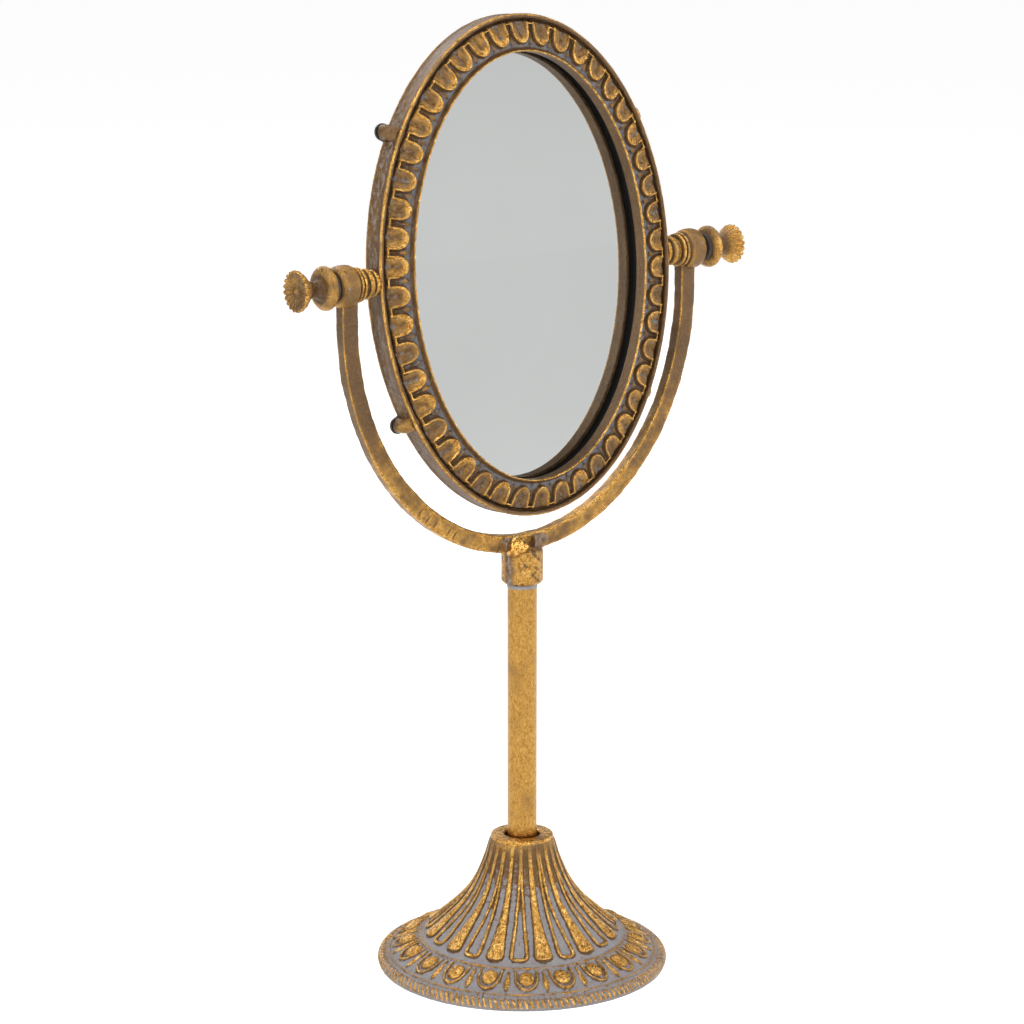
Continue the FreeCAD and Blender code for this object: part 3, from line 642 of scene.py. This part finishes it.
crest = across(np.interp(front, [2.3, 3.6, 4.8, 13.0, 13.9], [5.2, 5.7, 6.2, 8.5, 8.6]), columns)
U2 = U + vary(1.0, 0.18)
leaf_half = 5.75 + vary(2.0, 0.12)
tip = 14.15 + vary(3.0, 0.16)
start = 7.8
bow = np.clip((W - start) / (tip - start), 0, 3)
q = np.where(W > start, ((np.abs(U2) / leaf_half) ** 2.0 + bow ** 2.15) ** 0.5, np.abs(U2) / leaf_half)
inside = (1 - q) * leaf_half                             # distance in from the outline
ridge = dome(np.clip((inside - 0.95) / 1.0, -1, 1), 0.75)
relief = np.full_like(W, FLOOR)
# gap between leaves, closed at its outer end by the ridge turning across it
bridge = dome(np.clip((W - 4.35) / 0.8, -1, 1), 0.7) * (inside < 0.9)
gap_centre = PITCH / 2 - np.abs(U)
dart_half = np.interp(W, [5.4, 6.4, 9.4, 12.6, 13.4, 14.1], [0.0, 0.30, 0.45, 1.9, 1.6, 0.0])
dart = np.clip(1 - gap_centre / np.maximum(dart_half, 1e-3), 0, 1) ** 0.6
relief = np.maximum(relief, FLOOR + 1.05 * dart)
# leaf body: a spoon with a sunk middle, fuller at the tip
bowl = -0.35 - 0.95 * np.exp(-(U2 / 1.55) ** 2) * smoothstep(12.6, 9.0, W) - 0.5 * smoothstep(8.5, 3.5, W)
bowl = bowl + 0.25 * np.exp(-((np.abs(U2) - 2.6) / 1.0) ** 2) * smoothstep(4.0, 7.0, W)
bowl = bowl + 0.12 * np.sin(U2 * 2.3 + K * 1.9) * np.sin(W * 1.6 + K * 0.8)
relief = np.where(inside > 0.5, np.maximum(relief, bowl), relief)
relief = np.maximum(relief, FLOOR + 2.15 * np.maximum(ridge, bridge * 0.93))
# outer slope down to the hoop
relief = relief - 2.2 * smoothstep(3.7, 2.9, W)
lift = crest + relief
# groove and inner lip
lip_zone = smoothstep(15.0, 15.6, W)
lip_shape = across(np.interp(front, [15.0, 15.6, 15.9, 16.3, 16.7, 17.1, 17.3],
                             [6.9, 6.9, 7.2, 8.1, 8.95, 8.95, 8.4]), columns)
lift = lift * (1 - lip_zone) + lip_shape * lip_zone
leaf_mask = np.clip(np.maximum(ridge, bridge), 0, 1)
column_gap = PITCH / LEAF_COLUMNS
# crease mark: painted shade with umber in the sunk ground, on steep slopes, on the outer slope down to the
# hoop and in the groove before the inner lip; the ring's back gets an even 0.42 of it below
sunk = cavity(relief, np.full(len(front), column_gap), LEAF_STEP, 0.8)
dirt = smoothstep(0.10, 0.55, sunk)
slope = np.hypot(np.gradient(relief, axis=1) / column_gap, np.gradient(relief, axis=0) / LEAF_STEP)
dirt = np.maximum(dirt, smoothstep(0.8, 2.2, slope) * 0.8)
dirt = np.maximum(dirt, smoothstep(4.0, 3.0, W))
dirt = np.maximum(dirt * (1 - lip_zone), smoothstep(15.1, 15.6, W) * smoothstep(16.6, 16.2, W) * 0.9)
even_cast = head_points(along, W, lift)
lift = lift + 0.10 * wobble(even_cast, 6.0, 0.9) + 0.05 * wobble(even_cast, 2.3, 1.9)
front_points = head_points(along, W, lift)
back_points = np.stack([head_points(s, np.full(columns, w), np.full(columns, h)) for w, h in BACK])
wax = np.clip(1.0 - leaf_mask * 1.2, 0, 1)
vein = 0.62 * np.exp(-(U2 / 1.0) ** 2) * smoothstep(12.5, 9.5, W) * (0.6 + vary(5.0, 0.4))
wax = np.where(inside > 0.9, 0.10 + vein + 0.3 * smoothstep(5.5, 3.5, W), wax)
wax = np.where((relief > -1.45) & (inside < 0) & (W < 13.9), wax * 0.3, wax)
wax = wax * (1 - lip_zone)
wax = np.maximum(wax, smoothstep(3.4, 2.8, W) * 0.5)
rub = np.maximum(leaf_mask, smoothstep(16.3, 16.7, W))
rub = np.maximum(rub, (inside > 0.9) * smoothstep(9.5, 12.0, W) * 0.6)
back_rub = across([0.25 if lifted > 1.9 else 0.0 for _, lifted in BACK], columns)
ring = grid_piece("leaf_ring", np.concatenate([front_points, back_points]),
                  {"wax": np.concatenate([wax, np.zeros_like(back_rub)]),
                   "rub": np.concatenate([rub, back_rub]),
                   "dirt": np.concatenate([dirt, np.full_like(back_rub, 0.42)])}, wrap_rows=True)
face_outward(ring)
ring.data.materials.append(ring_gold)


# ------------------------------------------------------------------ yoke bar
def rounded_square(side, corner, deep=None, per_corner=6, per_side=5):
    """Outline of a square, or of a rectangle `deep` the other way, with rounded corners."""
    out = []
    half = side / 2 - corner
    half_deep = (deep or side) / 2 - corner
    for quarter in range(4):
        a0 = math.pi / 2 * quarter
        cx = half * (1 if quarter in (0, 3) else -1)
        cy = half_deep * (1 if quarter in (0, 1) else -1)
        for j in range(per_corner):
            a = a0 + math.pi / 2 * j / (per_corner - 1)
            out.append((cx + corner * math.cos(a), cy + corner * math.sin(a)))
        a1 = a0 + math.pi / 2
        nx_q = (quarter + 1) % 4
        ex = half * (1 if nx_q in (0, 3) else -1) + corner * math.cos(a1)
        ey = half_deep * (1 if nx_q in (0, 1) else -1) + corner * math.sin(a1)
        sx, sy = out[-1]
        for j in range(1, per_side):
            out.append((sx + (ex - sx) * j / per_side, sy + (ey - sy) * j / per_side))
    return np.array(out)


SPAN, DROP, BAR, BAR_DEEP = 98.4, 113.0, 8.4, 5.8
BOW_LOW = 209.0                # height of the bar's centreline at the hub
arm_top = PIVOT - 7.5          # inside the boss
arm_bend = PIVOT - 18.3
theta = np.linspace(0, math.pi, 1201)
line_x = np.concatenate([np.full(20, -SPAN), -SPAN * np.cos(theta), np.full(20, SPAN)])
line_z = np.concatenate([np.linspace(arm_top, arm_bend, 20, endpoint=False), arm_bend - DROP * np.sin(theta),
                         np.linspace(arm_bend, arm_top, 21)[1:]])
run = np.concatenate([[0], np.cumsum(np.hypot(np.diff(line_x), np.diff(line_z)))])
even = np.linspace(0, run[-1], 1100)
px, pz = np.interp(even, run, line_x), np.interp(even, run, line_z)
tx, tz = np.gradient(px), np.gradient(pz)
size = np.hypot(tx, tz)
tx, tz = tx / size, tz / size
square = rounded_square(BAR, 0.8, BAR_DEEP)
a, b = square[:, 0][None, :], square[:, 1][None, :]     # a across in the yoke's plane, b along -Y
points = np.stack([px[:, None] + a * tz[:, None], -b + 0 * px[:, None], pz[:, None] - a * tx[:, None]], -1)
swell = wobble(points, 23.0, 0.5) * 0.16 + wobble(points, 6.0, 2.5) * 0.06
points = np.stack([px[:, None] + a * tz[:, None] * (1 + swell * 0.4),
                   -b * (1 + swell * 0.4) + 0 * px[:, None],
                   pz[:, None] - a * tx[:, None] * (1 + swell * 0.4)], -1)
to_corner = np.hypot(np.abs(square[:, 0]) - BAR / 2 + 0.3, np.abs(square[:, 1]) - BAR_DEEP / 2 + 0.3)
corner = np.clip(1 - to_corner / 0.8, 0, 1)[None, :] * np.ones((len(px), 1))
low = np.clip(0.10 + 0.35 * np.abs(wobble(points, 31.0, 0.2)), 0, 1) * (1 - corner) * 0.7
X, Z = points[..., 0], points[..., 2]
facing = points[..., 1] < -BAR_DEEP / 2 + 0.4        # the bar's front side
# a cut across the bar left of the hub, then five nicks further up
seam = np.exp(-(((X + 15.6) - 0.62 * (Z - BOW_LOW)) / 0.42) ** 2) * facing * smoothstep(204.0, 206.0, Z)
for at, lean_out in ((-41.0, 0.9), (-44.5, 0.8), (-52.0, 0.7), (-56.0, 1.0), (-60.5, 0.8)):
    mid = arm_bend - DROP * math.sqrt(1 - (at / SPAN) ** 2)
    nick = np.exp(-(((X - at) - lean_out * (Z - mid)) / 0.40) ** 2) * np.exp(-((Z - mid + 0.8) / 1.3) ** 2)
    seam = np.maximum(seam, nick * facing)
points[..., 1] += 0.35 * seam
cloud = 0.3 * np.abs(wobble(points, 17.0, 3.0))
arm_dirt = 0.22 + 0.42 * smoothstep(235, 305, Z) * (1 - 0.6 * corner) + cloud
marks = {"wax": low + 0.25 * smoothstep(250, 320, Z) * (1 - corner),
         "rub": np.clip(corner * 1.2 + 0.15, 0, 1),
         "dirt": np.clip(np.maximum(arm_dirt - 0.2, seam * 1.2), 0, 1)}
yoke = grid_piece("yoke_bow", points, marks, poles=(True, True))
face_outward(yoke)
yoke.data.materials.append(bar_gold)


# ------------------------------------------------------------------ hub with its fillets, and the bud
def upright(along, u, v):
    return np.stack([u, v, along], -1)


def blended(name, pieces, voxel, rounds):
    """Overlapping closed meshes fused into one skin and softened, as in one casting."""
    whole = join(name, pieces)
    remesh = whole.modifiers.new("fuse", "REMESH")
    remesh.mode = "VOXEL"
    remesh.voxel_size = voxel * MM
    soften = whole.modifiers.new("soften", "SMOOTH")
    soften.factor = 0.5
    soften.iterations = rounds
    bpy.context.view_layer.update()
    graph = bpy.context.evaluated_depsgraph_get()
    mesh = bpy.data.meshes.new_from_object(whole.evaluated_get(graph))
    whole.modifiers.clear()
    whole.data = mesh
    mesh.name = name
    mesh.polygons.foreach_set("use_smooth", np.ones(len(mesh.polygons), bool))
    return whole


HUB = [(189.0, 0.3), (189.0, 7.6), (189.3, 8.6), (190.6, 9.9), (191.4, 10.0), (198.0, 10.0), (204.2, 10.0),
       (205.8, 9.6), (206.8, 8.2), (207.3, 6.0), (207.5, 0.3)]
barrel = turned_piece("barrel", HUB, upright, 96, 0.5, poles=(True, True))
wedges = []                    # fillets that run out under the bar on both sides
for side in (-1, 1):
    t = np.linspace(0, 1, 26)
    wx = side * (3.0 + 12.5 * t)
    top = BOW_LOW + DROP - DROP * np.sqrt(1 - (wx / SPAN) ** 2)
    half_y = 2.75 + 3.4 * (1 - t) ** 2.2
    depth = 3.9 + 5.4 * (1 - t) ** 2.4
    loop = rounded_square(2.0, 0.35)
    a, b = loop[:, 0][None, :], loop[:, 1][None, :]
    zc = top - depth * 0.5 + 1.9
    points = np.stack([wx[:, None] + 0 * a, b * half_y[:, None],
                       zc[:, None] + a * (depth * 0.5 + 1.9)[:, None]], -1)
    wedges.append(face_outward(grid_piece("wedge", points, poles=(True, True))))
hub = blended("yoke_socket", [barrel] + wedges, 0.42, 7)
hub.data.materials.clear()
hub.data.materials.append(hub_gold)
co = np.array([v.co for v in hub.data.vertices]) / MM
stain = (smoothstep(-3.0, -8.5, co[:, 0] * 0.80 - co[:, 1] * 0.60 - 1.5)
         * smoothstep(-2, -6, co[:, 1] + co[:, 0] * 0.4))
stain = np.maximum(stain * 0.9, smoothstep(203.0, 207.0, co[:, 2]) * smoothstep(-1.0, 4.0, co[:, 0]) * 0.75)
grime = smoothstep(0.15, 0.6, wobble(co, 7.5, 4.0)) * 0.8
marks = {"wax": stain, "rub": np.full(len(co), 0.35), "dirt": np.maximum(grime, stain * 0.3)}
for label, values in marks.items():
    hub.data.attributes.new(label, "FLOAT", "POINT").data.foreach_set("value", values.astype(np.float32))

# bud: a pointed leaf lump folded over the front of the hub
BUD_TURN = math.radians(-46.0)
BUD_HEIGHT, BUD_REACH, BUD_SHIFT = 208.0, 8.9, -1.2
lat = np.linspace(0, math.pi, 40)
lon = np.linspace(0, 2 * math.pi, 72, endpoint=False)
LA, LO = np.meshgrid(lat, lon, indexing="ij")
bx = np.sin(LA) * np.cos(LO)
bz = np.sin(LA) * np.sin(LO)
by = np.cos(LA)
facets = 1.0 + 0.10 * np.cos(3 * LO + 0.8) * np.sin(LA) ** 2 + 0.06 * np.cos(5 * LO + 2.0 * by)
lump_u = 5.3 * bx * facets * np.where(bz < 0, 1.0 - 0.25 * np.abs(bz), 1.0 - 0.12 * bz)
lump_v = np.where(bz < 0, 4.7, 5.2) * bz * facets + 0.9 * bx
peak = 0.5 * np.maximum(0, 1 - np.hypot(bx, bz - 0.2) * 1.6)
lump_out = 4.3 * by * (1 + 0.12 * np.cos(2 * LO + 0.4)) + peak
crease = 0.55 * np.exp(-((lump_u - 0.3 * lump_v) / 0.9) ** 2) * (by > 0)
lump_out = lump_out - crease
out_x, out_y = math.sin(BUD_TURN), -math.cos(BUD_TURN)
side_x, side_y = math.cos(BUD_TURN), math.sin(BUD_TURN)
reach = BUD_REACH + lump_out
shift = lump_u + BUD_SHIFT
points = np.stack([out_x * reach + side_x * shift, out_y * reach + side_y * shift, BUD_HEIGHT + lump_v], -1)
# the crease mark darkens the bud's back, where it meets the hub: painted shade with umber
marks = {"wax": np.clip(crease * 1.3, 0, 1) * 0.6, "rub": np.clip(by + 0.3, 0, 1),
         "dirt": smoothstep(0.35, -0.1, by) * 0.8}
bud = face_outward(grid_piece("hub_leaf", points, marks))
bud.data.materials.append(bud_gold_and_highlight)


# ------------------------------------------------------------------ turned fittings on the tilt axis
def sideways(side):
    def place(along, u, v):
        return np.stack([side * along, u, PIVOT + v], -1)
    return place


# (distance from the stem's axis, radius); the knob's is from the middle of its bead
BOSS = [(92.0, 2.15), (92.0, 6.9), (92.15, 7.7), (92.7, 7.95), (93.3, 7.7), (93.6, 7.0), (93.9, 7.2),
        (94.2, 8.0), (94.8, 8.3), (95.3, 8.0), (95.6, 7.5), (96.0, 7.9), (96.9, 9.0), (98.3, 9.5),
        (100.6, 9.65), (102.8, 9.5), (104.4, 8.9), (105.3, 7.9), (105.6, 6.8), (105.6, 2.15)]
COLLAR = [(83.9, 2.15), (83.9, 5.2), (84.1, 5.9), (84.7, 6.2), (85.5, 6.1), (86.0, 5.3), (86.4, 4.9),
          (86.9, 5.3), (87.3, 6.4), (87.9, 7.0), (88.8, 7.05), (89.5, 6.7), (89.9, 5.9), (90.4, 5.6),
          (91.0, 5.9), (91.5, 5.9), (91.65, 5.4), (91.65, 2.15)]
KNOB = [(9.9, 0.3), (9.6, 2.15), (3.0, 2.15), (-2.0, 2.15), (-2.0, 5.6), (-2.0, 7.4), (-1.5, 8.9),
        (-0.6, 9.8), (0.4, 10.1), (1.5, 9.8), (2.5, 8.9), (3.1, 7.7), (3.2, 6.4), (3.3, 5.4), (3.9, 4.5),
        (4.8, 3.8), (6.2, 3.4), (7.8, 3.6), (9.6, 4.6), (11.4, 6.2), (13.2, 7.9), (14.5, 8.9), (15.4, 9.2),
        (16.0, 8.9),
        (15.9, 8.0), (15.4, 6.2), (15.05, 4.0), (15.0, 2.6), (15.4, 1.6), (15.9, 0.9), (16.0, 0.3)]
SIDES = (("left", -1, 109.9), ("right", 1, 112.4))     # name, direction, middle of the knob's bead
FAN_FLUTES = 20


def scallops(along, radius, angle):
    """Flutes of the knob's fan and the slight facets of its neck."""
    shell = smoothstep(8.0, 13.0, along)
    wave = np.abs(np.sin(FAN_FLUTES // 2 * angle)) ** 0.8
    radius = radius * (1 + shell * (0.11 * wave - 0.07))
    face = smoothstep(14.4, 15.2, along) * smoothstep(1.0, 4.0, radius)
    neck = smoothstep(2.5, 4.0, along) * smoothstep(9.0, 7.0, along)
    radius = radius * (1 + neck * 0.05 * np.cos(7 * angle))
    return along + face * (0.55 * wave - 0.25), radius


def cast_skin(piece, amount, wave, seed):
    """Slight unevenness of a cast surface."""
    mesh = piece.data
    co = np.zeros(len(mesh.vertices) * 3, np.float32)
    no = np.zeros(len(mesh.vertices) * 3, np.float32)
    mesh.vertices.foreach_get("co", co)
    mesh.vertices.foreach_get("normal", no)
    co, no = co.reshape(-1, 3), no.reshape(-1, 3)
    co = co + no * (wobble(co / MM, wave, seed) * amount * MM)[:, None]
    mesh.vertices.foreach_set("co", co.astype(np.float32).ravel())
    mesh.update()


turned_sets = {}
for word, side, bead in SIDES:
    boss = turned_piece(word + "_boss_barrel", BOSS, sideways(side), 144, 0.28)
    collar = turned_piece(word + "_collar_rings", COLLAR, sideways(side), 128, 0.26)
    shifted = [(along + bead, radius) for along, radius in KNOB]

    def shell(along, radius, angle, bead=bead):
        moved, radius = scallops(along - bead, radius, angle)
        return moved + bead, radius

    knob = turned_piece(word + "_knob_shell", shifted, sideways(side), 240, 0.26, relief=shell,
                        poles=(True, True))
    for piece, amount in ((boss, 0.12), (collar, 0.08), (knob, 0.12)):
        cast_skin(piece, amount, 3.4, bead)
        piece.data.materials.append(fitting_gold)
    turned_sets[word] = (boss, collar, knob)

# ------------------------------------------------------------------ materials on the solids that stay
glass, tree, shader = new_material("silvered_glass")
coords = tree.nodes.new("ShaderNodeTexCoord").outputs["Object"]
haze = noise_at(tree, coords, 14.0, 3, 0.5)
# painted shade: the silver is dimmed to about 0.57 so that the bright studio reflects as mid grey
dimmed_silver = ramp(tree, haze, [(0.3, (0.562, 0.574, 0.566)), (0.7, (0.578, 0.590, 0.582))])
tree.links.new(dimmed_silver, shader.inputs["Base Color"])
tree.links.new(ramp(tree, haze, [(0.3, 0.004), (0.7, 0.014)]), shader.inputs["Roughness"])
shader.inputs["Metallic"].default_value = 1.0

black_metal = plain_surface("black_metal", (0.012, 0.011, 0.011), (0.030, 0.028, 0.027), (0.32, 0.52),
                            scale=420.0, bump=0.00012)
# near-zero black for the gasket: a black spacer, darkened further as painted shadow of the gap between rebate
# and glass
black_spacer_and_shadow = plain_surface("black_spacer_and_shadow", (0.002, 0.002, 0.002), (0.006, 0.005, 0.004), (0.7, 0.9), specular=0.1)
washer_dark = plain_surface("washer_dark", (0.018, 0.016, 0.015), (0.055, 0.045, 0.036), (0.5, 0.75),
                            scale=600.0)
steel = plain_surface("plated_steel", (0.30, 0.30, 0.31), (0.48, 0.48, 0.49), (0.28, 0.45), metallic=1.0,
                      scale=500.0, bump=0.00006, stretch=(1, 1, 0.2))
ring_grey = plain_surface("seat_grey", (0.16, 0.155, 0.16), (0.33, 0.32, 0.325), (0.45, 0.7), metallic=0.5,
                          scale=500.0)
card = plain_surface("grey_board", (0.20, 0.15, 0.10), (0.30, 0.24, 0.16), (0.8, 0.95), scale=500.0)
felt = plain_surface("black_felt", (0.010, 0.010, 0.011), (0.035, 0.034, 0.034), (0.85, 1.0), scale=1800.0,
                     bump=0.0004)
KEPT = {"stem": stem_gold, "stem_ring": ring_grey, "tie_rod": steel, "base_washer": steel, "base_nut": steel,
        "base_felt": felt, "mirror_glass": glass, "glass_gasket": black_spacer_and_shadow, "backing_board": card,
        "back_plate": black_metal, "back_clips": black_metal, "clip_screws": black_metal, "left_stud": steel,
        "right_stud": steel, "left_washer": washer_dark, "right_washer": washer_dark}
for label, material in KEPT.items():
    held = nodes[label]
    if not held.material_slots:
        held.data.materials.append(material)
    for slot in held.material_slots:
        slot.material = material

# ------------------------------------------------------------------ riding
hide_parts("base")
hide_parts("yoke_bar")
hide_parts("yoke_hub")
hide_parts("hub_bud")
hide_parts("frame_band")
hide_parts("ornament_ring")
for piece, body in ((foot, "stand"), (yoke, "stand"), (hub, "stand"), (bud, "stand"), (hoop, "mirror_head"),
                    (ring, "mirror_head")):
    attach(piece, body)
for word, (boss, collar, knob) in turned_sets.items():
    for piece, label, body in ((boss, "_boss", "stand"), (collar, "_collar", "mirror_head"),
                               (knob, "_knob", word + "_knob")):
        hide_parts(word + label)
        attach(piece, body)

# ------------------------------------------------------------------ floor, light, camera
floor_mesh = bpy.data.meshes.new("floor")
floor_mesh.from_pydata([(-14, -14, 0), (14, -14, 0), (14, 14, 0), (-14, 14, 0)], [], [(0, 1, 2, 3)])
floor = bpy.data.objects.new("floor", floor_mesh)
scene.collection.objects.link(floor)
floor_look, tree, shader = new_material("floor_white")
shader.inputs["Base Color"].default_value = (0.40, 0.40, 0.40, 1)
shader.inputs["Roughness"].default_value = 0.9
shader.inputs["Specular IOR Level"].default_value = 0.0
shader.inputs["Emission Color"].default_value = (1, 1, 1, 1)
shader.inputs["Emission Strength"].default_value = 0.92
floor_mesh.materials.append(floor_look)

world = bpy.data.worlds.new("studio")
scene.world = world
world.use_nodes = True
tree = world.node_tree
sky = tree.nodes["Background"]
direction = tree.nodes.new("ShaderNodeTexCoord").outputs["Generated"]
split = tree.nodes.new("ShaderNodeSeparateXYZ")
tree.links.new(direction, split.inputs[0])
level = plus(tree, times(tree, split.outputs["Z"], 0.5), 0.5)
# bright towards the horizon, which the floor meets, and dark above so that the gold has contrast
shades = ramp(tree, level, [(0.50, 0.99), (0.54, 0.88), (0.58, 0.20), (0.80, 0.08), (1.0, 0.18)])
tree.links.new(shades, sky.inputs["Color"])
sky.inputs["Strength"].default_value = 1.0


def softbox(name, where, target, width, tall, power):
    lamp = bpy.data.lights.new(name, "AREA")
    lamp.shape = "RECTANGLE"
    lamp.size, lamp.size_y, lamp.energy = width, tall, power
    made = bpy.data.objects.new(name, lamp)
    made.location = where
    made.rotation_euler = (Vector(target) - Vector(where)).to_track_quat("-Z", "Y").to_euler()
    scene.collection.objects.link(made)


softbox("key", (-1.45, -0.35, 1.15), (0, 0, 0.25), 0.45, 1.0, 24)
softbox("front", (-0.35, -1.75, 1.2), (0, 0, 0.2), 0.5, 0.7, 20)
softbox("right", (1.45, -0.75, 0.95), (0, 0, 0.25), 0.4, 0.9, 18)
softbox("top", (0.2, 0.5, 1.8), (0, 0, 0.2), 0.9, 0.7, 18)
softbox("rear", (0.3, 1.7, 1.0), (0, 0, 0.25), 0.7, 0.8, 10)

camera_data = bpy.data.cameras.new("camera")
camera_data.sensor_width = 36.0
camera_data.lens = 111.6
camera_data.clip_end = 60.0
camera = bpy.data.objects.new("camera", camera_data)
camera.location = (-0.8842, -1.1653, 0.5556)
aim = Vector((-0.0039, 0.0029, 0.2235))
camera.rotation_euler = (aim - camera.location).to_track_quat("-Z", "Y").to_euler()
scene.collection.objects.link(camera)
scene.camera = camera
scene.view_settings.view_transform = "Standard"
scene.view_settings.look = "None"
